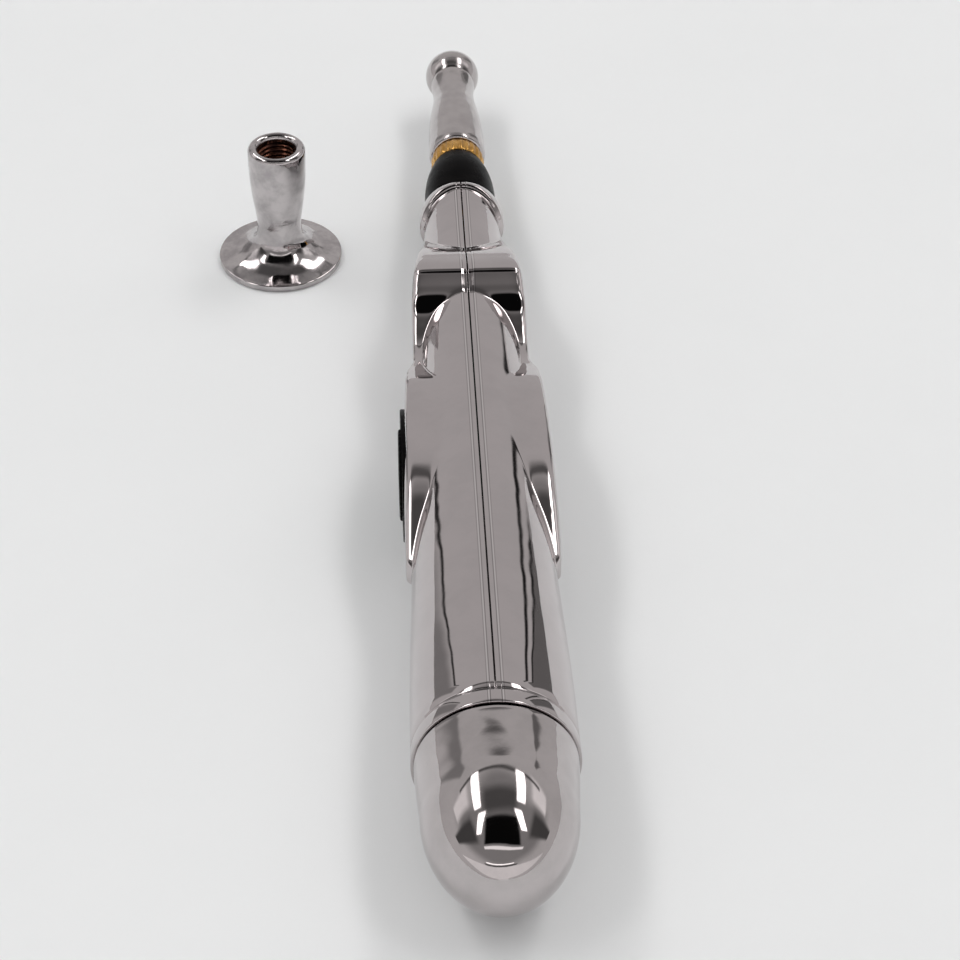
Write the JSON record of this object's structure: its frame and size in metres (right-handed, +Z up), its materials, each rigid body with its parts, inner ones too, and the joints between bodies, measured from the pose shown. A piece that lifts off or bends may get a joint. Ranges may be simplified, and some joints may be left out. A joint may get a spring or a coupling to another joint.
{
  "type": "electronic massage pen",
  "caption": "Chrome electronic massage pen with side dial, screw-on ball head, battery cap and a loose disc head.",
  "frame": {"origin": "on the floor, at the middle of the length and width of the pen and its loose head together", "axes": "+Y along the pen towards its tip, +Z up, dial facing -X; the pen's axis leans down towards the tip by about one degree, as it rests"},
  "size_m": [0.0498, 0.1992, 0.0223],
  "materials": {
    "casing_chrome": "mirror-bright plating on moulded shells",
    "head_chrome": "polished plated metal with faint wear",
    "gloss_black": "polished black",
    "brass": "turned, lightly tarnished",
    "copper_thread": "bare copper-coloured thread",
    "steel": "plain stamped",
    "nickel": "bright nickel",
    "cell_sleeve": "printed film sleeve without lettering",
    "natural_plastic": "unpigmented moulding",
    "circuit_board": "solder-resist green",
    "ferrite": "sintered, dark grey",
    "copper_winding": "enamelled wire",
    "component_black": "moulded component body",
    "red_lens": "translucent red",
    "lead_red": "soft insulated lead"
  },
  "bodies": {
    "pen_body": {"left_shell": "casing_chrome", "right_shell": "casing_chrome", "tail_band": "casing_chrome", "dial_bezel": "gloss_black", "nose_cone": "gloss_black", "led_lens": "red_lens", "brass_collar": "brass", "threaded_stud": "brass", "stud_nut": "brass", "battery_tube": "natural_plastic", "positive_contact": "nickel", "negative_strip": "nickel", "circuit_board": "circuit_board", "dial_control": "steel", "transformer_core": "ferrite", "transformer_coil": "copper_winding", "filter_capacitor": "component_black", "pulse_chip": "component_black", "indicator_led": "red_lens", "electrode_lead": "lead_red"},
    "dial": {"dial_knob": "gloss_black", "dial_shaft": "steel"},
    "cap": {"battery_cap": "casing_chrome", "cap_contact": "steel", "cap_spring": "nickel"},
    "cell": {"battery_can": "cell_sleeve", "battery_button": "nickel"},
    "ball_end": {"ball_head": "head_chrome", "ball_head_insert": "copper_thread"},
    "loose_disc_end": {"spare_disc_head": "head_chrome", "spare_head_insert": "copper_thread"}
  },
  "joints": [
    {"name": "dial_turn", "type": "hinge", "parent": "pen_body", "child": "dial", "pos_m": [0.01379, -0.0138, 0.01008], "axis": [1, 0, 0], "range_deg": [0, 290]},
    {"name": "cap_off", "type": "slide", "parent": "pen_body", "child": "cap", "axis": [0, -0.9998, 0.0177], "range_m": [0, 0.11]},
    {"name": "cell_out", "type": "slide", "parent": "pen_body", "child": "cell", "axis": [0, -0.9998, 0.0177], "range_m": [0, 0.0605]},
    {"name": "ball_head_off", "type": "slide", "parent": "pen_body", "child": "ball_end", "axis": [0, 0.9998, -0.0177], "range_m": [0, 0.02]},
    {"name": "loose_head_lift", "type": "slide", "parent": "pen_body", "child": "loose_disc_end", "axis": [0, 0, 1], "range_m": [0, 0.04]}
  ],
  "couplings": [
    {"joint": "cell_out", "follows": "cap_off", "ratio": 0.55}
  ]
}
